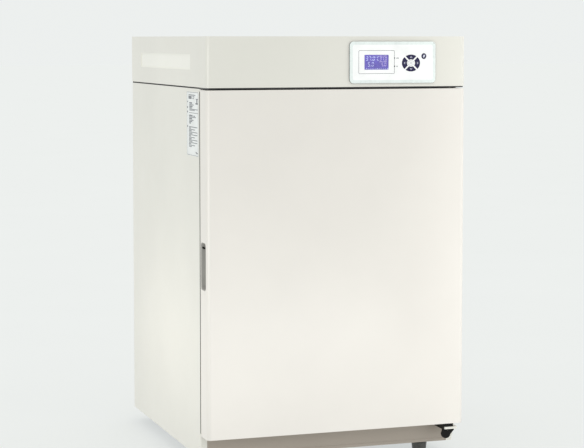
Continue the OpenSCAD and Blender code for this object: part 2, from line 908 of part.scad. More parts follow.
module foot(x, y) {
    pad_h = 22;
    pad_r = [15.5, 17.5];
    at = [x, y];
    color(black) {
        translate([x, y, 0]) cylinder(h = pad_h, r1 = pad_r[0], r2 = pad_r[1]);
        translate([x, y, pad_h]) cylinder(h = foot_height - foot_gap - pad_h, r = 10, $fn = 6);
        post(at, stud_r, pad_h, cab_bottom + 30);
    }
}

module foot_front_left() { foot(-foot_x, foot_y[0]); }
module foot_front_right() { foot(foot_x, foot_y[0]); }
module foot_rear_left() { foot(-foot_x, foot_y[1]); }
module foot_rear_right() { foot(foot_x, foot_y[1]); }

module shelf_upper() { shelf(shelf_z[1]); }
module shelf_lower() { shelf(shelf_z[0]); }

// ---- Nodes ----

left_side_panel();
right_side_panel();
rear_panel();
base_pan();
kick_panel();
top_deck();
front_frame();
chamber_liner();
chamber_gasket();
insulation();
shelf_rails();
duct_cover();
duct_heater();
fan_motor();
temperature_probe();
co2_sensor();
port_sleeve();
glass_hinge_brackets();
door_hinge_brackets();
hinge_caps();
head_cover();
head_floor();
head_rear_panel();
head_side_inlays();
control_bezel();
control_overlay();
lcd_window();
lcd_module();
led_lamps();
key_board();
control_board();
gas_inlet();
power_entry_module();
screws();
side_label();
door_shell();
door_inner_panel();
door_insulation();
door_gasket();
door_pull_cup();
door_hinge_bushes();
glass_pane();
glass_hinge_leaves();
glass_door_knob();
shelf_upper();
shelf_lower();
water_pan();
fan_impeller();
key_up();
key_down();
key_left();
key_right();
key_centre();
key_power();
foot_front_left();
foot_front_right();
foot_rear_left();
foot_rear_right();
rocker_switch();
port_plug();
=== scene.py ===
import math

import bmesh
import bpy
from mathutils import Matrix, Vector


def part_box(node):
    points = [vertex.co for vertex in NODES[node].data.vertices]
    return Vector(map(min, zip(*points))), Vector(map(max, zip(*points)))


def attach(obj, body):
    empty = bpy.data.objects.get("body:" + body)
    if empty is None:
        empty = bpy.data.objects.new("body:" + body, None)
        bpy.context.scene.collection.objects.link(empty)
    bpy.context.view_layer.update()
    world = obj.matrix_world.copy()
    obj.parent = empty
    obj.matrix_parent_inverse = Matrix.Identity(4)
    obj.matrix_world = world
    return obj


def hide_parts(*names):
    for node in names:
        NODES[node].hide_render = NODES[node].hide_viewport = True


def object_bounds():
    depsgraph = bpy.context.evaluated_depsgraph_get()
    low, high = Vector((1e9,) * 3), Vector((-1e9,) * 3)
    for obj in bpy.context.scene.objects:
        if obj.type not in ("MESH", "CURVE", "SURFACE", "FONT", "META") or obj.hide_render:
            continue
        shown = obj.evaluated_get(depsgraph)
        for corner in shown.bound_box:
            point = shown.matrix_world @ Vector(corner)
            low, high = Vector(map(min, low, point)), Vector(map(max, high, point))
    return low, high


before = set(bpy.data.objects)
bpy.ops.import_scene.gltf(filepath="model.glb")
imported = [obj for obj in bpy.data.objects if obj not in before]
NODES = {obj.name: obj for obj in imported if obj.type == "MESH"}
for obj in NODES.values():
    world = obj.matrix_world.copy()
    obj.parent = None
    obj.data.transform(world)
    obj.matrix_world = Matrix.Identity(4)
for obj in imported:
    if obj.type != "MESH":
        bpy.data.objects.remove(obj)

MM = 0.001
X, Y, Z = Vector((1, 0, 0)), Vector((0, 1, 0)), Vector((0, 0, 1))
cad_low, cad_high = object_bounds()
scene = bpy.context.scene


# -------- node trees

def fill(node, values):
    """Sets a node's inputs by name, where _ stands for a space."""
    for key, value in values.items():
        node.inputs[key.replace("_", " ")].default_value = value


class Tree:
    """A material's node tree, with short calls for the nodes that the materials below share."""

    def __init__(self, name):
        self.material = bpy.data.materials.new(name)
        self.material.use_nodes = True
        self.nodes = self.material.node_tree.nodes
        self.links = self.material.node_tree.links
        self.shader = self.nodes["Principled BSDF"]
        self.coord = self.nodes.new("ShaderNodeTexCoord").outputs["Object"]

    def link(self, out, into):
        self.links.new(out, into)

    def new(self, kind, **values):
        """A new node of a kind, with its inputs set."""
        node = self.nodes.new("ShaderNode" + kind)
        fill(node, values)
        return node

    def set(self, **values):
        fill(self.shader, values)

    def mapped(self, scale=(1, 1, 1)):
        node = self.new("Mapping", Scale=scale)
        self.link(self.coord, node.inputs["Vector"])
        return node.outputs["Vector"]

    def noise(self, scale, detail=3.0, rough=0.5, stretch=(1, 1, 1)):
        node = self.new("TexNoise", Scale=scale, Detail=detail, Roughness=rough)
        self.link(self.mapped(stretch), node.inputs["Vector"])
        return node.outputs["Fac"]

    def cells(self, scale, feature="F1"):
        node = self.new("TexVoronoi", Scale=scale)
        node.feature = feature
        self.link(self.mapped(), node.inputs["Vector"])
        return node.outputs["Distance"]

    def span(self, value, low, high, start=0.3, end=0.7):
        """A value that runs from start to end becomes one from low to high."""
        node = self.new("MapRange", From_Min=start, From_Max=end, To_Min=low, To_Max=high)
        self.link(value, node.inputs["Value"])
        return node.outputs["Result"]

    def blend(self, value, colour_a, colour_b, start=0.3, end=0.7):
        """colour_a up to start, colour_b from end on, and a ramp between them."""
        node = self.new("ValToRGB")
        first, last = node.color_ramp.elements
        first.position, first.color = start, (*colour_a, 1)
        last.position, last.color = end, (*colour_b, 1)
        self.link(value, node.inputs["Fac"])
        return node.outputs["Color"]

    def multiply(self, colour_a, colour_b):
        node = self.new("Mix")
        node.data_type = "RGBA"
        node.blend_type = "MULTIPLY"
        node.inputs["Factor"].default_value = 1.0
        self.link(colour_a, node.inputs["A"])
        self.link(colour_b, node.inputs["B"])
        return node.outputs["Result"]

    def bump(self, height, strength, distance=0.1 * MM):
        node = self.new("Bump", Strength=strength, Distance=distance)
        self.link(height, node.inputs["Height"])
        self.link(node.outputs["Normal"], self.shader.inputs["Normal"])

    def colour(self, output):
        self.link(output, self.shader.inputs["Base Color"])

    def roughness(self, output):
        self.link(output, self.shader.inputs["Roughness"])


def scaled(colour, factor):
    """The same colour brighter or darker."""
    return tuple(min(1.0, c * factor) for c in colour)


# -------- materials

def powder_paint(name, colour):
    """Satin powder coat: orange peel, a faint cloudiness and slightly uneven gloss."""
    t = Tree(name)
    clouds = t.noise(5.0, detail=4)
    t.colour(t.blend(clouds, scaled(colour, 0.975), scaled(colour, 1.015)))
    t.roughness(t.span(t.noise(40.0), 0.34, 0.44))
    t.bump(t.noise(700.0, detail=2), 0.10, 0.05 * MM)
    t.set(Coat_Weight=0.15, Coat_Roughness=0.2)
    return t.material


def brushed_steel(name, colour, stretch):
    """Sheet steel with fine brush lines along the direction that stretch keeps small."""
    t = Tree(name)
    lines = t.noise(60.0, detail=6, rough=0.7, stretch=stretch)
    t.colour(t.blend(lines, scaled(colour, 0.88), scaled(colour, 1.08)))
    t.roughness(t.span(lines, 0.22, 0.38))
    t.bump(lines, 0.12, 0.05 * MM)
    t.set(Metallic=1.0)
    return t.material


def zinc_sheet(name, colour):
    """Galvanised sheet: flat crystal spangles with their own brightness."""
    t = Tree(name)
    spangle = t.cells(90.0)
    t.colour(t.blend(spangle, scaled(colour, 0.82), scaled(colour, 1.1), 0.1, 0.7))
    t.roughness(t.span(spangle, 0.32, 0.55, 0.1, 0.7))
    t.bump(t.noise(300.0), 0.1)
    t.set(Metallic=1.0)
    return t.material


def moulded(name, colour, rough, grain=900.0, strength=0.12, coat=0.0, shine=0.5, glow=0.0):
    """Injection-moulded plastic with a fine spark-eroded grain of the given strength."""
    t = Tree(name)
    t.colour(t.blend(t.noise(30.0), scaled(colour, 0.94), scaled(colour, 1.05)))
    t.roughness(t.span(t.noise(120.0), rough - 0.05, rough + 0.07))
    t.bump(t.noise(grain, detail=2), strength, 0.05 * MM)
    t.set(Coat_Weight=coat, Coat_Roughness=0.1, Specular_IOR_Level=shine)
    t.set(Emission_Color=(1, 1, 1, 1), Emission_Strength=glow)
    return t.material


def rubber(name, colour, rough=0.7, bloomed=1.6, shine=0.5):
    """Moulded rubber with a dusty bloom, which is bloomed times as bright as the colour."""
    t = Tree(name)
    bloom = t.noise(60.0, detail=5, rough=0.65)
    clean, dusty = scaled(colour, 1 - 0.33 * (bloomed - 1)), scaled(colour, bloomed)
    t.colour(t.blend(bloom, clean, dusty, 0.35, 0.75))
    t.set(Specular_IOR_Level=shine)
    t.roughness(t.span(bloom, rough - 0.1, rough + 0.12))
    t.bump(t.noise(1200.0, detail=2), 0.25, 0.05 * MM)
    return t.material


def cast_metal(name, colour, rough):
    """Cast, machined or oxidised metal with a mottled surface."""
    t = Tree(name)
    mottle = t.noise(250.0, detail=4, rough=0.6)
    t.colour(t.blend(mottle, scaled(colour, 0.8), scaled(colour, 1.12)))
    t.roughness(t.span(mottle, rough - 0.08, rough + 0.12))
    t.bump(mottle, 0.2)
    t.set(Metallic=1.0)
    return t.material


def glass_wool(name, colour):
    """Matted glass fibre."""
    t = Tree(name)
    fibres = t.noise(180.0, detail=8, rough=0.75, stretch=(1, 4, 1))
    tufts = t.noise(20.0, detail=4)
    strands = t.blend(fibres, scaled(colour, 0.6), scaled(colour, 1.15))
    t.colour(t.multiply(strands, t.blend(tufts, (0.8, 0.8, 0.8), (1, 1, 1))))
    t.set(Roughness=0.95)
    t.bump(fibres, 0.9, 1.0 * MM)
    return t.material


def circuit_board(name, colour):
    """Solder mask with paler copper lands under it."""
    t = Tree(name)
    lands = t.cells(260.0, feature="DISTANCE_TO_EDGE")
    t.colour(t.blend(lands, scaled(colour, 1.9), colour, 0.02, 0.06))
    t.roughness(t.span(t.noise(200.0), 0.3, 0.45))
    t.bump(lands, 0.15)
    return t.material


def clear_pane(name, colour):
    """Glass or acrylic with a very faint waviness."""
    t = Tree(name)
    t.colour(t.blend(t.noise(8.0), scaled(colour, 0.99), colour))
    t.set(Roughness=0.02, IOR=1.5, Transmission_Weight=1.0)
    t.bump(t.noise(12.0), 0.02)
    return t.material


def lit_display(name, colour, glow):
    """Backlit liquid crystal: an uneven backlight behind a fine dot grid."""
    t = Tree(name)
    backlight = t.noise(35.0, detail=1)
    grid = t.cells(1600.0)
    tone = t.multiply(t.blend(backlight, scaled(colour, 0.88), scaled(colour, 1.12)),
                      t.blend(grid, (0.86, 0.86, 0.86), (1, 1, 1), 0.2, 0.6))
    t.colour(tone)
    t.link(tone, t.shader.inputs["Emission Color"])
    t.set(Roughness=0.3, Emission_Strength=glow)
    return t.material


PAINT = powder_paint("cream_powder_coat", (0.80, 0.785, 0.725))
DOOR_PAINT = powder_paint("door_powder_coat", (0.83, 0.795, 0.748))
# The kick panel's paint is darkened and warmed: painted shade for the shadow under the door's overhang
KICK_SHADE_PAINT = powder_paint("kick_panel_painted_shade", (0.385, 0.335, 0.285))
# Near-black paint on the head floor and top deck: painted shade that darkens the seam under the head
SEAM_SHADE_PAINT = powder_paint("seam_painted_shade", (0.02, 0.02, 0.022))
INLAY = powder_paint("inlay_powder_coat", (0.92, 0.91, 0.845))
STEEL_X = brushed_steel("brushed_steel_x", (0.62, 0.63, 0.64), (0.03, 1, 1))
STEEL_Z = brushed_steel("brushed_steel_z", (0.62, 0.63, 0.64), (1, 1, 0.03))
ZINC = zinc_sheet("zinc_sheet", (0.55, 0.57, 0.59))
BLACK_RUBBER = rubber("black_rubber", (0.022, 0.022, 0.024), shine=0.12)
GASKET = rubber("gasket_rubber", (0.022, 0.021, 0.020), 0.6, shine=0.08)
FOOT_RUBBER = rubber("foot_rubber", (0.065, 0.063, 0.058), 0.35)
SILICONE = rubber("silicone", (0.60, 0.58, 0.53), 0.55, bloomed=1.06)
BLACK_PLASTIC = moulded("black_plastic", (0.008, 0.008, 0.008), 0.38, shine=0.16)
GREY_PLASTIC = moulded("grey_plastic", (0.43, 0.42, 0.395), 0.42)
SENSOR_PLASTIC = moulded("sensor_plastic", (0.68, 0.68, 0.65), 0.4)
AQUA = moulded("aqua_bezel", (0.845, 0.912, 0.896), 0.28, strength=0.05, coat=0.3)
# The film glows very slightly: painted light that makes it the whitest part
FILM = moulded("white_overlay_film", (0.93, 0.935, 0.935), 0.32, grain=1500.0, strength=0.06, glow=0.08)
KEY = moulded("navy_key", (0.018, 0.014, 0.068), 0.3, strength=0.06, coat=0.15, shine=0.3)
CENTRE_KEY = moulded("white_key", (0.93, 0.935, 0.94), 0.3, strength=0.06)
LABEL = moulded("label_film", (0.86, 0.88, 0.875), 0.35, strength=0.03)
BOARD = circuit_board("circuit_board", (0.02, 0.13, 0.05))
WOOL = glass_wool("glass_wool", (0.72, 0.62, 0.30))
MOTOR = cast_metal("motor_casting", (0.42, 0.43, 0.45), 0.45)
HEATER = cast_metal("heater_sheath", (0.25, 0.20, 0.18), 0.5)
BRASS = cast_metal("brass", (0.72, 0.52, 0.22), 0.3)
BRONZE = cast_metal("bronze", (0.50, 0.33, 0.15), 0.4)
GLASS = clear_pane("tempered_glass", (0.93, 0.985, 0.965))
ACRYLIC = clear_pane("display_window", (0.97, 0.97, 1.0))
DISPLAY = lit_display("display_backlight", (0.115, 0.085, 0.46), 0.55)
LCD_INK = lit_display("display_characters", (0.60, 0.66, 0.95), 0.45)
LCD_INK_PINK = lit_display("display_small_characters", (0.72, 0.62, 0.92), 0.35)
GREY_INK = moulded("grey_ink", (0.16, 0.165, 0.18), 0.45, strength=0.04)
PALE_INK = moulded("pale_grey_ink", (0.50, 0.51, 0.54), 0.45, strength=0.04)
KEY_INK = moulded("pale_key_ink", (0.72, 0.74, 0.86), 0.4, strength=0.04)
LABEL_INK = moulded("label_ink", (0.20, 0.215, 0.235), 0.5, strength=0.04)
SMOKED = moulded("smoked_lens", (0.03, 0.032, 0.04), 0.2, strength=0.02, coat=0.5)
DARK_STEEL = cast_metal("blackened_steel", (0.10, 0.10, 0.105), 0.42)
BRIGHT_STEEL = cast_metal("plated_steel", (0.62, 0.62, 0.60), 0.3)

NODE_MATERIALS = {
    PAINT: ["left_side_panel", "right_side_panel", "rear_panel", "front_frame", "head_cover",
            "head_rear_panel", "door_hinge_brackets"],
    DOOR_PAINT: ["door_shell", "door_inner_panel"],
    KICK_SHADE_PAINT: ["kick_panel"],
    SEAM_SHADE_PAINT: ["head_floor", "top_deck"],
    INLAY: ["head_side_inlays"],
    STEEL_X: ["shelf_rails"],
    STEEL_Z: ["chamber_liner", "duct_cover", "temperature_probe", "glass_hinge_brackets",
              "glass_hinge_leaves"],
    ZINC: ["base_pan"],
    BLACK_PLASTIC: ["hinge_caps", "power_entry_module", "rocker_switch", "fan_impeller"],
    SENSOR_PLASTIC: ["co2_sensor", "port_sleeve"],
    FILM: ["control_overlay"],
    DISPLAY: ["lcd_module"],
    BOARD: ["key_board", "control_board"],
    WOOL: ["insulation", "door_insulation"],
    MOTOR: ["fan_motor"],
    HEATER: ["duct_heater"],
    BRASS: ["gas_inlet"],
    BRONZE: ["door_hinge_bushes"],
    GLASS: ["glass_pane"],
    LABEL: ["side_label"],
}

# Edge rounding on the CAD nodes that stay in sight, in millimetres
SOFT_EDGES = {
    0.9: ["head_cover", "door_shell"],
    0.5: ["door_hinge_brackets", "front_frame", "door_inner_panel", "glass_pane"],
    0.3: ["kick_panel", "rear_panel", "power_entry_module", "rocker_switch", "gas_inlet", "port_sleeve",
          "fan_motor", "duct_cover"],
}


def dress_cad_nodes():
    """Gives every carried-over CAD node its material, and the visible ones soft edges."""
    for material, names in NODE_MATERIALS.items():
        for name in names:
            mesh = NODES[name].data
            mesh.materials.clear()
            mesh.materials.append(material)
    for width, names in SOFT_EDGES.items():
        for name in names:
            soften(NODES[name], width)


def soften(piece, width):
    """Rounds the edges that turn by more than 30 degrees."""
    weld = piece.modifiers.new("weld", "WELD")
    weld.merge_threshold = 0.005 * MM
    bevel = piece.modifiers.new("bevel", "BEVEL")
    bevel.width, bevel.segments = width * MM, 3
    bevel.limit_method, bevel.angle_limit = "ANGLE", math.radians(30)
    bevel.harden_normals = bevel.use_clamp_overlap = True


# -------- outlines, in millimetres

ROUND = 32    # points in a circle, unless a piece needs more
CORNER = 7    # points in a round corner


def arc(centre, radii, start, end, count):
    """Points along an ellipse's arc, with angles in degrees."""
    steps = [math.radians(start + (end - start) * i / (count - 1)) for i in range(count)]
    return [(centre[0] + radii[0] * math.cos(a), centre[1] + radii[1] * math.sin(a)) for a in steps]


def ellipse(radii, centre=(0, 0), count=48):
    """A closed oval, anticlockwise."""
    return arc(centre, radii, 0, 360, count + 1)[:-1]


def circle(radius, centre=(0, 0), count=ROUND):
    return ellipse((radius, radius), centre, count)


def rounded(size, radius, centre=(0, 0)):
    """A rectangle with round corners, anticlockwise."""
    points = []
    for sx, sy, start in ((1, -1, -90), (1, 1, 0), (-1, 1, 90), (-1, -1, 180)):
        corner = (centre[0] + sx * (size[0] / 2 - radius), centre[1] + sy * (size[1] / 2 - radius))
        points += arc(corner, (radius, radius), start, start + 90, CORNER)
    return points


def turned(points, degrees, centre=(0, 0)):
    """The same outline turned about the origin, then moved to a centre."""
    c, s = math.cos(math.radians(degrees)), math.sin(math.radians(degrees))
    return [(centre[0] + c * u - s * v, centre[1] + s * u + c * v) for u, v in points]


def bar(low, high):
    """A rectangle from its lower left to its upper right corner."""
    return [(low[0], low[1]), (high[0], low[1]), (high[0], high[1]), (low[0], high[1])]


def inset(points, distance):
    """An anticlockwise outline moved inwards by a small distance, with mitred corners."""
    moved = []
    for i, here in enumerate(points):
        here = Vector(here)
        before = (here - Vector(points[i - 1])).normalized()
        after = (Vector(points[(i + 1) % len(points)]) - here).normalized()
        n1, n2 = Vector((-before.y, before.x)), Vector((-after.y, after.x))
        moved.append(tuple(here + (n1 + n2) * distance / (1 + n1.dot(n2))))
    return moved


# -------- solids on a working face

class Face:
    """A working face: u runs right, v runs up and w comes out of it, all in millimetres."""

    def __init__(self, origin, right, up=Z):
        self.origin, self.right, self.up = Vector(origin), right, up
        self.out = right.cross(up)

    def at(self, u, v, w):
        return (self.origin + self.right * u + self.up * v + self.out * w) * MM

    def moved(self, u, v, w=0.0):
        return Face(self.origin + self.right * u + self.up * v + self.out * w, self.right, self.up)


def corners(node):
    """A node's lowest and highest corner, in millimetres."""
    low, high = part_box(node)
    return Vector(low) / MM, Vector(high) / MM


def middle(low, high, **kept):
    """The middle of a box, apart from the coordinates that are given by name."""
    point = (low + high) / 2
    for axis, value in kept.items():
        setattr(point, axis, value)
    return point


def ring(width, w0, w1):
    """The (inset, height) points of a flat ring inside an outline."""
    return [(0, w0), (0, w1), (width, w1), (width, w0)]


def outline_verts(bm, face, points, w):
    return [bm.verts.new(face.at(u, v, w)) for u, v in points]


def wall(bm, low, high):
    """Joins two rings of vertices."""
    for i in range(len(low)):
        j = (i + 1) % len(low)
        bm.faces.new((low[i], low[j], high[j], high[i]))


def loft(bm, face, sections, closed=False):
    """Joins outlines of one length, each at its own height; closed joins the last to the first."""
    rings = [outline_verts(bm, face, points, w) for points, w in sections]
    for low, high in list(zip(rings, rings[1:])) + ([(rings[-1], rings[0])] if closed else []):
        wall(bm, low, high)
    if not closed:
        bm.faces.new(list(reversed(rings[0])))
        bm.faces.new(rings[-1])


def plate(bm, face, outline, w0, w1, edge=0.0):
    """A flat plate, with a small chamfer at its front edge."""
    sections = [(outline, w0), (outline, w1 - edge)]
    if edge:
        sections.append((inset(outline, edge), w1))
    loft(bm, face, sections)


def lathe(bm, face, profile, count=ROUND):
    """A turned solid on the face's out axis, from (radius, height) points."""
    loft(bm, face, [(circle(r, count=count), w) for r, w in profile])


def frame_loft(bm, face, size, radius, profile, closed=False, least=0.8, centre=(0, 0)):
    """Round-cornered rectangles joined in order, from (inset, height) points. least is the
    smallest corner radius."""
    loft(bm, face, [(rounded((size[0] - 2 * d, size[1] - 2 * d), max(radius - d, least), centre), w)
                    for d, w in profile], closed)


def holed_plate(bm, face, outline, holes, w0, w1):
    """A plate with open holes: both faces are filled round them and every rim gets its wall."""
    levels = []
    for w in (w0, w1):
        rims, edges = [], []
        for points in [outline] + holes:
            rim = outline_verts(bm, face, points, w)
            edges += [bm.edges.new((rim[i], rim[(i + 1) % len(rim)])) for i in range(len(rim))]
            rims.append(rim)
        bmesh.ops.triangle_fill(bm, edges=edges, use_beauty=True, use_dissolve=False)
        levels.append(rims)
    for low, high in zip(*levels):
        wall(bm, low, high)


def mesh_object(name, bm, material, smooth_angle=None):
    """An object in the scene from the mesh, smooth wherever it turns by less than the angle."""
    bmesh.ops.recalc_face_normals(bm, faces=bm.faces)
    mesh = bpy.data.meshes.new(name)
    bm.to_mesh(mesh)
    bm.free()
    mesh.materials.append(material)
    if smooth_angle is not None:
        mesh.shade_smooth()
        mesh.set_sharp_from_angle(angle=math.radians(smooth_angle))
    piece = bpy.data.objects.new(name, mesh)
    scene.collection.objects.link(piece)
    return piece


def piece_of(name, bm, material, replaced=(), body="cabinet", smooth_angle=35):
    """Makes the mesh an object that rides on its body, and hides the CAD nodes that it stands for."""
    piece = mesh_object(name, bm, material, smooth_angle)
    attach(piece, body)
    if replaced:
        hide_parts(*replaced)


def cross_recess(arm, half_width):
    """The outline of a cross, sampled at the same angles as a circle."""
    tiny = 1e-6
    points = []
    for i in range(ROUND):
        a = 2 * math.pi * i / ROUND
        c, s = max(abs(math.cos(a)), tiny), max(abs(math.sin(a)), tiny)
        r = max(min(arm / c, half_width / s), min(arm / s, half_width / c))
        points.append((r * math.cos(a), r * math.sin(a)))
    return points


def screw_head(bm, face, spot, radius=3.5, height=2.0, shank=0.0):
    """A pan head with a cross recess, standing on the face, with a shank behind it."""
    here = face.moved(*spot)
    recess = cross_recess(0.55 * radius, 0.16 * radius)
    recess_foot = cross_recess(0.4 * radius, 0.12 * radius)
    stem = [(circle(0.42 * radius), -shank), (circle(0.42 * radius), 0)] if shank else []
    dome = [(circle(share * radius), rise * height) for share, rise in
            ((1, 0), (1, 0.35), (0.93, 0.7), (0.78, 0.93), (0.62, 1))]
    loft(bm, here, stem + dome + [(recess, height), (recess_foot, 0.35 * height)])


def screws(name, face, spots, replaced=(), body="cabinet", **head):
    """Bright pan-head screws on the face, as one piece."""
    bm = bmesh.new()
    for spot in spots:
        screw_head(bm, face, spot, **head)
    piece_of(name, bm, BRIGHT_STEEL, replaced, body)


# -------- control panel

bezel_low, bezel_high = corners("control_bezel")
film_low, film_high = corners("control_overlay")
PANEL = Face(middle(bezel_low, bezel_high, y=bezel_high.y), X)
BEZEL_SIZE = (bezel_high.x - bezel_low.x, bezel_high.z - bezel_low.z)
RIM = (BEZEL_SIZE[0] - (film_high.x - film_low.x)) / 2
FILM_TOP = PANEL.origin.y - film_low.y
KEY_SLACK = 0.35     # round the keys, in their openings
KEY_GAP = 4.0        # between two quadrant keys
HUB = (9.9, 8.2)     # half the oval that the quadrant keys stand round
INK = 0.05           # thickness of printed marks


def on_panel(node):
    """A node's centre and half size in the panel's own u and v."""
    low, high = corners(node)
    centre, half = middle(low, high) - PANEL.origin, (high - low) / 2
    return (centre.x, centre.z), (half.x, half.z)


def panel_levels(node):
    """The heights of a node's back and front above the panel's back plane."""
    low, high = corners(node)
    return PANEL.origin.y - high.y, PANEL.origin.y - low.y


def key_pad():
    """The centre and the half size of the whole oval of keys."""
    centre, _ = on_panel("key_centre")
    right, right_half = on_panel("key_right")
    up, up_half = on_panel("key_up")
    return centre, (right[0] + right_half[0] - centre[0], up[1] + up_half[1] - centre[1])


def lamp_spots():
    """The centres of the upper and the lower lamp."""
    (u, v), (radius, half) = on_panel("led_lamps")
    return [(u, v + side * (half - radius)) for side in (1, -1)]


def build_bezel():
    """An aqua moulding with a rounded rim, on a black foam gasket whose dark side is painted shade for
    the shadow line round the bezel.
    """
    radius, inner_radius = 9.0, 5.0
    foam, foam_wide = 2.5, 1.6
    bm = bmesh.new()
    rim = [(0.1, foam), (0.2, 2.8), (0.6, 3.1), (1.3, 3.32), (2.2, 3.45), (3.4, 3.5), (5.2, 3.5),
           (RIM - 0.6, 3.46), (RIM, FILM_TOP - 0.1), (RIM, 0), (foam_wide, 0), (foam_wide, foam)]
    frame_loft(bm, PANEL, BEZEL_SIZE, radius, rim, closed=True, least=inner_radius)
    (lcd, lcd_half), (power, power_half) = on_panel("lcd_window"), on_panel("key_power")
    pad, pad_half = key_pad()
    holes = [rounded((2 * lcd_half[0], 2 * lcd_half[1]), 1.0, lcd),
             ellipse((pad_half[0] + KEY_SLACK, pad_half[1] + KEY_SLACK), pad),
             ellipse((power_half[0] + KEY_SLACK, power_half[1] + KEY_SLACK), power, ROUND)]
    holes += [circle(on_panel("led_lamps")[1][0], spot, 16) for spot in reversed(lamp_spots())]
    field = rounded((BEZEL_SIZE[0] - 2 * RIM, BEZEL_SIZE[1] - 2 * RIM), inner_radius)
    field_back, field_front = 0.8, FILM_TOP - 1.05
    holed_plate(bm, PANEL, field, holes, field_back, field_front)
    piece_of("bezel_moulding", bm, AQUA, ["control_bezel"])
    # The black foam stands in for the shadow line under the rim: painted shade
    bm = bmesh.new()
    frame_loft(bm, PANEL, BEZEL_SIZE, radius, ring(foam_wide, 0, foam), closed=True, least=inner_radius)
    piece_of("bezel_foam_shade_gasket", bm, GASKET)
    screw_in, screw_seat = (4.5, 4.0), 3.3
    spot = (BEZEL_SIZE[0] / 2 - screw_in[0], BEZEL_SIZE[1] / 2 - screw_in[1])
    bm = bmesh.new()
    screw_head(bm, PANEL.moved(0, 0, screw_seat), spot, 1.2, 0.18)
    piece_of("bezel_corner_screw", bm, DARK_STEEL)


def build_print():
    """Grey ink on the film: the frame round the display and a short mark beside each lamp."""
    line, corner = 0.85, 2.5
    frame_left, frame_low, frame_high = 13.5, 9, 9.5    # outside the display window
    mark_gap, stroke, stroke_foot, stroke_top = 4, 0.7, 1.1, 0.7
    ink = (FILM_TOP, FILM_TOP + INK)
    (lcd_u, lcd_v), lcd_half = on_panel("lcd_window")
    low = (lcd_u - lcd_half[0] - frame_left, lcd_v - lcd_half[1] - frame_low)
    high = (lamp_spots()[0][0], lcd_v + lcd_half[1] + frame_high)
    size = (high[0] - low[0], high[1] - low[1])
    centre = ((low[0] + high[0]) / 2, (low[1] + high[1]) / 2)
    bm = bmesh.new()
    frame_loft(bm, PANEL, size, corner, ring(line, *ink), closed=True, centre=centre)
    for (lamp_u, v), strokes in zip(lamp_spots(), (6, 4)):
        for i in range(strokes):
            u = lamp_u + mark_gap + i
            tall = stroke_top + 0.4 * (i % 2)
            plate(bm, PANEL, bar((u, v - stroke_foot), (u + stroke, v + tall)), *ink)
    piece_of("film_print", bm, GREY_INK)


def build_lamps():
    """Two smoked lamp lenses with their bodies behind the film."""
    radius = on_panel("led_lamps")[1][0]
    back, front = panel_levels("led_lamps")
    profile = [(radius - 0.1, back), (radius, back + 0.4), (radius, front - 0.35),
               (0.8 * radius, front - 0.12), (0.4 * radius, front - 0.02)]
    bm = bmesh.new()
    for spot in reversed(lamp_spots()):
        lathe(bm, PANEL.moved(*spot), profile, 24)
    piece_of("lamp_lenses", bm, SMOKED, ["led_lamps"])


# The lit bars of each character that the display shows; o is the small ring of a degree sign
SEGMENTS = {"0": "abcdef", "3": "abgcd", "5": "afgcd", "7": "abc", "C": "afed", "o": "abfg"}


def segment_outline(name, width, height, thick):
    """One bar of a seven-segment character whose lower left corner is the origin."""
    half, tip = height / 2, 0.6 * thick
    level = {"a": height, "g": half, "d": 0}
    if name in level:
        v = level[name] + {"a": -thick / 2, "g": 0, "d": thick / 2}[name]
        return [(tip, v), (thick, v - thick / 2), (width - thick, v - thick / 2), (width - tip, v),
                (width - thick, v + thick / 2), (thick, v + thick / 2)]
    u = width - thick / 2 if name in "bc" else thick / 2
    low = half if name in "bf" else 0
    return [(u, low + tip), (u + thick / 2, low + thick), (u + thick / 2, low + half - thick),
            (u, low + half - tip), (u - thick / 2, low + half - thick), (u - thick / 2, low + thick)]


def write_number(bm, face, text, spot, height, w0, w1):
    """Draws digits from left to right, leaning slightly, with square decimal points."""
    width, thick, lean = 0.52 * height, 0.13 * height, 0.08
    u, v = spot
    for letter in text:
        if letter == ".":
            plate(bm, face, bar((u - 0.02 * height, v), (u + 0.12 * height, v + 0.14 * height)), w0, w1)
            u += 0.22 * height
            continue
        scale, rise = (0.42, 0.56 * height) if letter == "o" else (1.0, 0)
        for name in SEGMENTS[letter]:
            segment = segment_outline(name, width * scale, height * scale, thick * (0.5 + scale / 2))
            plate(bm, face, [(u + a + lean * b, v + rise + b) for a, b in segment], w0, w1)
        u += width * scale + 0.18 * height


def build_display():
    """A thin window over lit characters: measured values on the left and set values on the right."""
    (u, v), half = on_panel("lcd_window")
    back, front = panel_levels("lcd_window")
    pane, pane_slack = 0.8, 0.2
    bm = bmesh.new()
    outline = rounded((2 * half[0] - pane_slack, 2 * half[1] - pane_slack), 1.0, (u, v))
    plate(bm, PANEL, outline, front - pane, front, 0.12)
    piece_of("display_window", bm, ACRYLIC, ["lcd_window"])
    ink = (back, back + 0.06)
    left, right, bottom = u - half[0], u + half[0], v - half[1]
    large, small = 9.5, 7.5
    bm = bmesh.new()
    write_number(bm, PANEL, "37.0oC", (left + 3.5, v + 3.2), large, *ink)
    write_number(bm, PANEL, "5.0", (left + 8.0, v - 9.2), large, *ink)
    tick_wide, tick_pitch, tick_foot = 2.8, 4.9, bottom + 1.6
    for i in range(11):
        tick = left + 4 + tick_pitch * i
        tall = 0.9 if i % 5 else 1.6
        plate(bm, PANEL, bar((tick, tick_foot), (tick + tick_wide, tick_foot + tall)), *ink)
    piece_of("display_values", bm, LCD_INK)
    bm = bmesh.new()
    write_number(bm, PANEL, "37.0", (right - 20.5, v + 3.6), small, *ink)
    write_number(bm, PANEL, "5.0", (right - 16.5, v - 8.8), small, *ink)
    stroke = 1.1
    for z in (v + 12.6, v + 0.4):
        for start, end in ((21, 14), (12, 4)):
            plate(bm, PANEL, bar((right - start, z), (right - end, z + stroke)), *ink)
    piece_of("display_set_values", bm, LCD_INK_PINK)


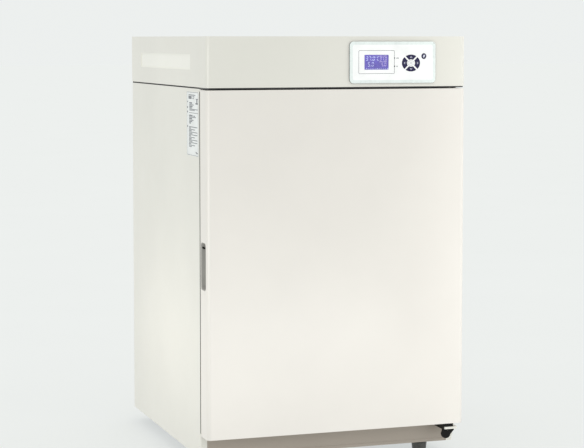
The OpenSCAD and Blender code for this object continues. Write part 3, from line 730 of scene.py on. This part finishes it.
def build_display_can():
    """The metal can round the back of the display, which keeps its light out of the head."""
    low, high = corners("lcd_module")
    back = panel_levels("lcd_module")[0]
    sheet, slack, wall = 0.5, 0.1, 6.0
    (u, v), size = on_panel("lcd_window")[0], (high.x - low.x + 1.2, high.z - low.z + 1.2)
    deep, rim = back - slack, back + wall
    bm = bmesh.new()
    plate(bm, PANEL, rounded(size, 1.5, (u, v)), deep - sheet, deep)
    frame_loft(bm, PANEL, size, 1.5, ring(sheet, deep, rim), closed=True, centre=(u, v))
    piece_of("display_back_can", bm, ZINC)


# A key's rounded rim: how far in each point is, and how far below the top
KEY_EDGE = [(0.0, 0.75), (0.12, 0.32), (0.38, 0.1), (0.8, 0.03)]


def key_cap(bm, outline, back, front):
    """A key with a rounded rim and a flat top."""
    loft(bm, PANEL, [(outline, back)] + [(inset(outline, d) if d else outline, front - drop)
                                         for d, drop in KEY_EDGE])


def quadrant_outline(direction, pad, shift):
    """A quarter of the oval ring from HUB to pad, between two diagonal gaps, about its own axis."""
    facing = Vector((math.cos(math.radians(direction)), math.sin(math.radians(direction))))
    across = Vector((-facing.y, facing.x))

    def half_angle(radii):
        """Halves the range until it meets the angle at which the oval crosses the gap's edge."""
        low, high = 0.0, 90.0
        for _ in range(40):
            guess = (low + high) / 2
            a = math.radians(direction + guess)
            point = Vector((radii[0] * math.cos(a), radii[1] * math.sin(a)))
            inside = point.dot(facing) - shift > abs(point.dot(across))
            low, high = (guess, high) if inside else (low, guess)
        return low

    outer, inner = half_angle(pad), half_angle(HUB)
    return (arc((0, 0), pad, direction - outer, direction + outer, 15)
            + arc((0, 0), HUB, direction + inner, direction - inner, 9))


def chevron(size, thick):
    """An upward arrowhead stroke about the origin."""
    foot, top = -size * 0.55, size * 0.55
    heel = foot - thick * 0.6
    return [(-size, foot), (-size + thick, heel), (0, top - thick * 1.3), (size - thick, heel),
            (size, foot), (0, top)]


def build_keys():
    """Navy quadrant keys round a white oval, and a small oval power key, each with its mark."""
    centre, pad = key_pad()
    back, front = panel_levels("key_centre")
    ink = (front - INK, front)
    shift = KEY_GAP / 2 * math.sqrt(2)
    mark_right, mark_up = 15.4, 13.2
    for name, direction, reach in (("right", 0, mark_right), ("up", 90, mark_up),
                                   ("left", 180, mark_right), ("down", 270, mark_up)):
        outline = [(centre[0] + a, centre[1] + b) for a, b in quadrant_outline(direction, pad, shift)]
        bm = bmesh.new()
        key_cap(bm, outline, back, front)
        piece_of(f"{name}_key_cap", bm, KEY, [f"key_{name}"], body=f"{name}_key")
        a = math.radians(direction)
        here = (centre[0] + reach * math.cos(a), centre[1] + reach * math.sin(a))
        bm = bmesh.new()
        plate(bm, PANEL, turned(chevron(2.7, 1.0), direction - 90, here), *ink)
        piece_of(f"{name}_key_mark", bm, KEY_INK, body=f"{name}_key")
    hub = on_panel("key_centre")[1]
    bm = bmesh.new()
    key_cap(bm, ellipse(hub, centre), back, front)
    piece_of("centre_key_cap", bm, CENTRE_KEY, ["key_centre"],
             body="centre_key")
    half_bar, stroke = 2.6, 0.8
    bm = bmesh.new()
    for v in (centre[1] - 1.4, centre[1] + 0.6):
        plate(bm, PANEL, bar((centre[0] - half_bar, v), (centre[0] + half_bar, v + stroke)), *ink)
    piece_of("centre_key_mark", bm, PALE_INK, body="centre_key")
    centre, radii = on_panel("key_power")
    bm = bmesh.new()
    key_cap(bm, ellipse(radii, centre), back, front)
    piece_of("power_key_cap", bm, KEY, ["key_power"], body="power_key")
    bm = bmesh.new()
    plate(bm, PANEL, turned(ellipse((2.0, 3.3), count=24), -28, centre), *ink)
    piece_of("power_key_mark", bm, KEY_INK, body="power_key")


# -------- outer door and cabinet front

# Blocks of print on the label: left, right, top and bottom in thousandths of its size
LABEL_BARS = [
    (150, 750, 45, 58), (150, 420, 66, 115), (500, 660, 70, 84), (500, 600, 96, 112),
    (220, 460, 165, 190), (220, 600, 198, 212), (220, 500, 218, 240), (220, 440, 246, 262),
    (220, 950, 268, 280), (220, 700, 286, 296), (200, 500, 362, 386), (550, 720, 370, 384),
    (200, 780, 392, 404), (200, 460, 410, 430), (200, 580, 438, 452), (200, 460, 458, 476),
    (200, 360, 482, 500)
]
LABEL_DARK_BARS = [
    (200, 1000, 326, 334), (800, 960, 105, 120), (840, 920, 120, 170), (760, 960, 170, 192),
    (760, 840, 930, 945), (820, 940, 942, 960), (30, 90, 150, 170), (30, 90, 232, 262),
    (30, 90, 305, 330), (30, 90, 530, 560)
]


def build_label():
    """Blocks and lines of grey print on the side label, with no lettering."""
    low, high = corners("side_label")
    face = Face((low.x, high.y, high.z), -Y)
    wide, tall = high.y - low.y, high.z - low.z
    share_u, share_v = wide / 1000, tall / 1000
    ink, line, corner, border = (0.0, 0.03), 0.8, 1.0, 0.8

    def print_bars(bm, bars):
        for u0, u1, v0, v1 in bars:
            plate(bm, face, bar((u0 * share_u, -v1 * share_v), (u1 * share_u, -v0 * share_v)), *ink)

    rows = [(i, 545 + 41 * i) for i in range(8)]
    lines = [(180, 920 - 220 * (i % 3 == 1), v, v + 12) for i, v in rows]
    words = [(180, 360 + 60 * (i % 3), v + 19, v + 33) for i, v in rows]
    bm = bmesh.new()
    print_bars(bm, LABEL_BARS + lines + words)
    piece_of("label_print", bm, LABEL_INK)
    bm = bmesh.new()
    print_bars(bm, LABEL_DARK_BARS)
    frame_loft(bm, face.moved(wide / 2, -tall / 2), (wide - 2 * border, tall - 2 * border), corner,
               ring(line, *ink), closed=True)
    piece_of("label_outline", bm, GREY_INK)


def build_pull():
    """A grey moulded finger cup sunk into the door's free edge, with a rounded lip."""
    low, high = corners("door_pull_cup")
    face = Face(middle(low, high, x=low.x), -Y)
    lip, corner, deep = 1.5, 8.0, high.x - low.x
    size = (high.y - low.y - 2 * lip, high.z - low.z - 2 * lip)
    profile = [(9.0, -deep + 1.5), (5.0, -deep + 2.0), (2.4, -deep + 3.6), (1.0, -deep + 6.5),
               (0.5, -2.6), (0.25, -1.1), (-0.2, -0.35), (-0.9, 0.0), (-0.95, -3.9), (-1.4, -4.1),
               (-1.4, -deep + 3), (1.5, -deep)]
    bm = bmesh.new()
    frame_loft(bm, face, size, corner, profile)
    piece_of("door_pull_moulding", bm, GREY_PLASTIC, ["door_pull_cup"], body="door")
    # A flat black plate in the cup stands in for the dark hollow of the slot: painted shade
    slot_in, slot_ahead, slot_up = 6.0, 2.2, 38
    slot = Face(middle(low, high, x=low.x + slot_in, y=high.y - slot_ahead), X).moved(0, slot_up)
    bm = bmesh.new()
    plate(bm, slot, turned(rounded((7.0, 4.0), 1.5), -30), 0, 0.6, 0.1)
    piece_of("door_pull_slot_shade", bm, BLACK_PLASTIC, body="door")


def build_door_gasket():
    """A folded rubber gasket with a flat magnet face, round the back of the door."""
    low, high = corners("door_gasket")
    face = Face(middle(low, high, y=low.y), -X)
    size = (high.x - low.x, high.z - low.z)
    tall = high.y - low.y
    profile = [(0.6, 0), (0.2, 0.7), (1.6, 1.5), (0.2, 2.3), (1.4, 3.1), (0.1, 3.7), (0, tall - 0.5),
               (0.4, tall), (9.6, tall), (10, tall - 0.5), (9.8, 3.4), (11.5, 2.9), (14.5, 4.2),
               (18.5, 3.6), (21, 1.8), (22, 0)]
    bm = bmesh.new()
    frame_loft(bm, face, size, 6.0, profile, closed=True, least=4.0)
    piece_of("door_gasket_bellows", bm, GASKET, ["door_gasket"], body="door")


def build_chamber_gasket():
    """A silicone bulb seal round the chamber's mouth, which the glass door closes on."""
    low, high = corners("chamber_gasket")
    face = Face(middle(low, high, y=high.y), X)
    size = (high.x - low.x, high.z - low.z)
    tall = high.y - low.y
    profile = [(0, 0), (0, 1.0), (2.1, 1.5), (2.8, 3.0), (4.4, tall - 0.4), (6, tall),
               (7.6, tall - 0.4), (9.2, 3.0), (9.9, 1.5), (12, 1.0), (12, 0)]
    bm = bmesh.new()
    frame_loft(bm, face, size, 37.0, profile, closed=True)
    piece_of("chamber_bulb_seal", bm, BLACK_RUBBER, ["chamber_gasket"])


def build_feet():
    """Levelling feet: a ribbed rubber pad, a lock nut and a threaded stud."""
    pad = [(13.8, 0.0), (15.2, 0.5), (15.5, 1.8), (15.5, 4.2), (14.9, 4.8), (14.9, 5.6), (15.8, 6.2),
           (17.2, 18.5), (17.4, 20.4), (16.9, 21.6), (15.5, 22.0), (11.0, 22.0)]
    pad_top, nut_top, nut_r, nut_edge = 22.0, 30.6, 9.9, 0.9
    hexagon = [p for i in range(6) for p in arc((0, 0), (nut_r, nut_r), 60 * i - 4, 60 * i + 4, 3)]
    nut = [(inset(hexagon, nut_edge), pad_top), (hexagon, pad_top + nut_edge), (hexagon, nut_top - 1.1),
           (inset(hexagon, nut_edge), nut_top)]
    pitch, root, crest, tip = 1.5, 4.35, 4.95, 3.6
    for name in ("front_left", "front_right", "rear_left", "rear_right"):
        low, high = corners(f"foot_{name}")
        face = Face(middle(low, high, z=low.z), X, Y)
        bm = bmesh.new()
        lathe(bm, face, pad, 48)
        piece_of(f"{name}_foot_pad", bm, FOOT_RUBBER, [f"foot_{name}"],
                 body=f"{name}_foot")
        tall = high.z - low.z
        thread = [(root, nut_top)]
        for i in range(int((tall - 32) / pitch)):
            foot = 31.0 + i * pitch
            thread += [(root, foot), (crest, foot + 0.55), (crest, foot + 0.75), (root, foot + 1.3)]
        bm = bmesh.new()
        loft(bm, face, nut)
        lathe(bm, face, thread + [(tip, tall)], 24)
        piece_of(f"{name}_foot_stud", bm, DARK_STEEL, body=f"{name}_foot")


def build_hinge():
    """The bearing block between the bracket and the door, with a cheek down the bracket's side, and
    the round cap of the screw below on its arm. The black block, cheek and arm are partly real
    plastic and partly painted shade that fills the shadow gap round the hinge."""
    low, high = corners("hinge_caps")
    deep = high.y - low.y
    block_left, block_right, block_tall = 1.5, 23.5, 8.7
    cheek_wide, cheek_tall = 1.8, 14.7
    cap_r, cap_thick, cap_in, cap_back = 10.4, 8.0, 21.3, 8
    bm = bmesh.new()
    block = Face((low.x, high.y, high.z), X)
    plate(bm, block, bar((block_left, -block_tall), (block_right, 0)), 0, deep, 0.9)
    plate(bm, block, bar((0, -cheek_tall), (cheek_wide, 0)), 0, deep, 0.5)
    cap = Face((high.x - cap_in, low.y + cap_back + cap_thick, low.z + cap_r), X)
    outline = circle(cap_r)
    rounding = [(0.4, 0), (0, 0.4), (0, cap_thick - 2.2), (0.4, cap_thick - 1.0),
                (1.2, cap_thick - 0.3), (2.4, cap_thick)]
    loft(bm, cap, [(inset(outline, d), w) for d, w in rounding])
    arm = [(0, 0), (10.3, -1), (18.6, 8), (19, 12.8), (-7, 12.8), (-9, 4)]
    plate(bm, cap, arm, 0, cap_thick - 0.6, 0.6)
    piece_of("hinge_block_shade_and_cap", bm, BLACK_PLASTIC, ["hinge_caps"])


def build_seam_shade_tape():
    """Black foam tape between the cabinet and the head, along both sides: painted shade that darkens
    the seam.
    """
    low, high = corners("left_side_panel")
    clear, sunk, short, thick = 0.1, 0.4, 4, 1.2
    bottom, top = high.z + clear, corners("head_cover")[0].z - clear
    half = ((high.y - low.y) / 2 - short, (top - bottom) / 2)
    bm = bmesh.new()
    for side in (-1, 1):
        edge = side * (abs(low.x) - sunk)
        strip = Face(middle(low, high, x=edge, z=(bottom + top) / 2), Y * side)
        plate(bm, strip, bar((-half[0], -half[1]), half), -thick, 0)
    piece_of("head_seam_shade_tape", bm, BLACK_RUBBER)


def build_door_screws():
    """Screws that hold the door's inner panel, in a row inside the gasket."""
    low, high = corners("door_inner_panel")
    gasket_low, gasket_high = corners("door_gasket")
    face = Face(middle(low, high, x=middle(gasket_low, gasket_high).x, y=high.y), -X)
    inside = 34
    half_u = (gasket_high.x - gasket_low.x) / 2 - inside
    half_v = (gasket_high.z - gasket_low.z) / 2 - inside
    upright = [(u, half_v * (i / 2 - 1)) for i in range(5) for u in (-half_u, half_u)]
    level = [(half_u * (2 * i / 3 - 1), v) for i in (1, 2) for v in (-half_v, half_v)]
    screws("door_panel_screws", face, upright + level, body="door", radius=3.2, height=1.6)


# -------- inside the chamber

def build_shelves():
    """Perforated shelves with folded lips at the front and the back."""
    thick, pitch, hole, corner, lip_short = 1.5, 15.0, 4.2, 6.0, 36
    margin_u, margin_v = 50, 40    # plain sheet round the holes, both sides together
    for name in ("upper", "lower"):
        low, high = corners(f"shelf_{name}")
        face = Face(middle(low, high, z=high.z - thick), X, Y)
        size = (high.x - low.x, high.y - low.y)
        columns, rows = int((size[0] - margin_u) / pitch), int((size[1] - margin_v) / pitch)
        holes = [circle(hole, ((i - (columns - 1) / 2) * pitch, (j - (rows - 1) / 2) * pitch), 12)
                 for i in range(columns) for j in range(rows)]
        bm = bmesh.new()
        holed_plate(bm, face, rounded(size, corner), holes, 0, thick)
        fold = high.z - low.z - thick
        for edge in (low.y + thick / 2, high.y - thick / 2):
            lip = Face(middle(low, high, y=edge, z=low.z + fold / 2), X)
            frame_loft(bm, lip, (size[0] - lip_short, fold), 2.0, [(0, -thick / 2), (0, thick / 2)])
        piece_of(f"{name}_shelf_perforated", bm, STEEL_X, [f"shelf_{name}"],
                 body=f"{name}_shelf", smooth_angle=25)


def build_water_pan():
    """A pressed pan with round bottom edges and a rolled rim."""
    low, high = corners("water_pan")
    face = Face(middle(low, high, z=low.z), X, Y)
    size = (high.x - low.x, high.y - low.y)
    tall = high.z - low.z
    profile = [(16, 1.0), (11, 1.3), (8.4, 2.8), (7.4, 6.0), (7.0, tall - 2.0), (6.2, tall - 0.8),
               (5.0, tall - 0.3), (2.0, tall - 0.1), (0.6, tall - 0.5), (0, tall - 1.6),
               (0.3, tall - 2.8), (1.4, tall - 3.2), (2.0, tall - 2.4), (5.2, tall - 1.4),
               (6.0, tall - 2.4), (6.3, 6.0), (7.4, 2.2), (10.5, 0.2), (16, 0.0)]
    bm = bmesh.new()
    frame_loft(bm, face, size, 20.0, profile, least=4.0)
    piece_of("water_pan_pressed", bm, STEEL_X, ["water_pan"], body="pan")


def build_knob():
    """A turned knob with a waisted stem, on a round seat."""
    low, high = corners("glass_door_knob")
    face = Face(middle(low, high, y=high.y), X)
    seat = (high.x - low.x) / 2
    bm = bmesh.new()
    lathe(bm, face, [(seat - 0.6, 0), (seat, 0.4), (seat, 1.3), (seat - 0.8, 2.0), (5.6, 2.2),
                     (4.4, 3.4), (4.2, 5.6), (5.2, 6.8), (7.8, 7.6), (8.9, 8.6), (9.0, 11.0),
                     (8.3, 12.3), (6.6, 12.8), (3.0, 13.0)], 40)
    piece_of("glass_door_turned_knob", bm, BLACK_PLASTIC, ["glass_door_knob"],
             body="glass_door")


def build_duct_screws():
    """Screws round the edge of the duct cover and round its fan opening."""
    low, high = corners("duct_cover")
    face = Face(middle(low, high, y=low.y), X)
    inside, fan_ring = 12, 60
    half_u, half_v = (high.x - low.x) / 2 - inside, (high.z - low.z) / 2 - inside
    bm = bmesh.new()
    for u, v in ((-1, -1), (1, -1), (1, 1), (-1, 1), (-1, 0), (1, 0)):
        screw_head(bm, face, (u * half_u, v * half_v), 3.5, 1.8)
    for spot in arc((0, 0), (fan_ring, fan_ring), 45, 315, 4):
        screw_head(bm, face, spot, 3.0, 1.6)
    piece_of("duct_cover_screws", bm, BRIGHT_STEEL)


# -------- rear

def build_rear_screws():
    """The pan-head screws of both rear panels."""
    face = Face((0, corners("rear_panel")[1].y, 0), -X)
    cab_low, cab_high = corners("left_side_panel")
    head_low, head_high = corners("head_cover")
    cab_in, cab_up, per_side = 9, 40, 4
    head_in, head_foot, head_top = 14, 12, 14
    step = (cab_high.z - cab_low.z - 2 * cab_up) / (per_side - 1)
    cab_rows = [cab_low.z + cab_up + i * step for i in range(per_side)]
    spots = [(side * (cab_low.x + cab_in), v) for side in (-1, 1) for v in cab_rows]
    spots += [(side * (head_high.x - head_in), v) for side in (-1, 1)
              for v in (head_low.z + head_foot, head_high.z - head_top)]
    screws("rear_panel_screws", face, spots, ["screws"], shank=8.0)


def build_plug():
    """A silicone port plug with sealing ribs and a dished grip."""
    low, high = corners("port_plug")
    face = Face(middle(low, high, y=low.y), -X)
    flange, reach = (high.x - low.x) / 2, high.y - low.y
    shaft, rib, first_rib, rib_pitch = flange - 9.1, 0.8, 5, 9.0
    flange_back = reach - 22.7
    flange_front = flange_back + 9
    profile = [(shaft - 3, 0), (shaft - 1.2, 0.6), (shaft - rib, 2)]
    for i in range(6):
        foot = first_rib + i * rib_pitch
        profile += [(shaft - rib, foot), (shaft, foot + 1.6), (shaft, foot + 2.6),
                    (shaft - rib, foot + 4.2)]
    profile += [(shaft - rib, flange_back - 0.4), (flange - 1.2, flange_back),
                (flange, flange_back + 1.4), (flange, flange_back + 7.4), (flange - 1.4, flange_front),
                (18.5, flange_front), (16.6, flange_front + 1), (15.2, reach - 6), (14.4, reach - 1.2),
                (13.2, reach - 0.2), (11.6, reach - 0.2), (10.2, reach - 1.0), (9.0, reach - 2.2)]
    bm = bmesh.new()
    lathe(bm, face, profile, 48)
    piece_of("port_plug_ribbed", bm, SILICONE, ["port_plug"], body="plug")


def build_power_entry_screws():
    """The two small screws that hold the power entry module."""
    low, high = corners("power_entry_module")
    face = Face(middle(low, high, y=high.y), -X)
    reach = (high.x - low.x) / 2 - 2.6
    screws("power_entry_screws", face, [(-reach, 0), (reach, 0)], radius=1.9, height=0.9)


# -------- stage

def area_light(name, place, target, size, power, colour, spared, glint=False):
    """A soft box that the camera doesn't see, and that lights nothing in the spared collection.
    It lights surfaces without showing in their gloss, or a glint shows in their gloss alone."""
    data = bpy.data.lights.new(name, "AREA")
    data.shape = "RECTANGLE"
    data.size, data.size_y = size
    data.energy, data.color = power, colour
    light = bpy.data.objects.new(name, data)
    light.location = place
    light.rotation_euler = (Vector(target) - Vector(place)).to_track_quat("-Z", "Y").to_euler()
    light.visible_camera = False
    light.visible_glossy, light.visible_diffuse = glint, not glint
    light.light_linking.receiver_collection = spared
    scene.collection.objects.link(light)


HORIZON = (0.845, 0.868, 0.858, 1)


def build_floor():
    t = Tree("studio_floor")
    t.colour(t.blend(t.noise(2.0), (0.318, 0.326, 0.324), (0.324, 0.332, 0.330)))
    t.roughness(t.span(t.noise(30.0), 0.9, 1.0))
    t.set(Specular_IOR_Level=0.0, Emission_Color=HORIZON, Emission_Strength=0.6)
    bm = bmesh.new()
    bm.faces.new([bm.verts.new((60.0 * x, 60.0 * y, cad_low.z))
                  for x, y in ((-1, -1), (1, -1), (1, 1), (-1, 1))])
    floor = mesh_object("studio_floor", bm, t.material)
    return floor


def build_sky():
    """An even pale sky that is brighter overhead, so that the floor is as bright as the horizon."""
    world = bpy.data.worlds.new("studio_sky")
    world.use_nodes = True
    nodes, links = world.node_tree.nodes, world.node_tree.links
    direction = nodes.new("ShaderNodeTexCoord").outputs["Generated"]
    split = nodes.new("ShaderNodeSeparateXYZ")
    links.new(direction, split.inputs["Vector"])
    rise = nodes.new("ShaderNodeMapRange")
    fill(rise, {"From Min": 0.12, "From Max": 0.75})
    links.new(split.outputs["Z"], rise.inputs["Value"])
    ramp = nodes.new("ShaderNodeMix")
    ramp.data_type = "RGBA"
    fill(ramp, {"A": HORIZON, "B": (1.12, 1.12, 1.09, 1)})
    links.new(rise.outputs["Result"], ramp.inputs["Factor"])
    links.new(ramp.outputs["Result"], nodes["Background"].inputs["Color"])
    scene.world = world


def build_lights(floor):
    """Strips that brighten the door's right edge and foot and the side's foot, and a glint on the
    front left corner. The sky alone lights the floor, so that it stays even."""
    spared = bpy.data.collections.new("lit_by_sky_only")
    spared.objects.link(floor)
    spared.collection_objects[0].light_linking.link_state = "EXCLUDE"
    front, left, right = cad_low.y, cad_low.x, cad_high.x
    area_light("right_strip", (right + 0.13, front - 0.17, 0.57), (right, front, 0.57), (0.08, 1.15),
               0.41, (1.0, 0.98, 0.965), spared)
    area_light("front_low_strip", (-0.15, front - 0.34, 0.25), (-0.15, front, 0.25), (0.76, 0.12),
               0.32, (0.97, 0.98, 1.0), spared)
    area_light("left_low_strip", (left - 0.24, -0.06, 0.28), (left, -0.06, 0.28), (0.5, 0.10),
               0.20, (1.0, 0.95, 0.90), spared)
    area_light("corner_glint", (left - 1.31, front - 0.92, 0.5), (left, front, 0.5), (1.3, 1.5),
               17.5, (1.0, 1.0, 0.97), spared, glint=True)


def build_camera():
    """The eye stands to the front left at head height, with upright lines kept nearly upright."""
    data = bpy.data.cameras.new("camera")
    data.sensor_width, data.lens, data.clip_end = 36.0, 112.2, 200.0
    data.shift_x, data.shift_y = 0.0009, -0.0994
    camera = bpy.data.objects.new("camera", data)
    camera.location = (-1.3456, -4.009, 0.935)
    camera.rotation_euler = (math.radians(86.0), 0, math.radians(-18.65))
    scene.collection.objects.link(camera)
    scene.camera = camera
    scene.view_settings.view_transform = "Standard"


build_camera()
dress_cad_nodes()
build_bezel()
build_print()
build_lamps()
build_display()
build_display_can()
build_keys()
build_label()
build_pull()
build_door_gasket()
build_seam_shade_tape()
build_door_screws()
build_feet()
build_hinge()
build_chamber_gasket()
build_shelves()
build_water_pan()
build_knob()
build_duct_screws()
build_rear_screws()
build_plug()
build_power_entry_screws()
build_sky()
build_lights(build_floor())
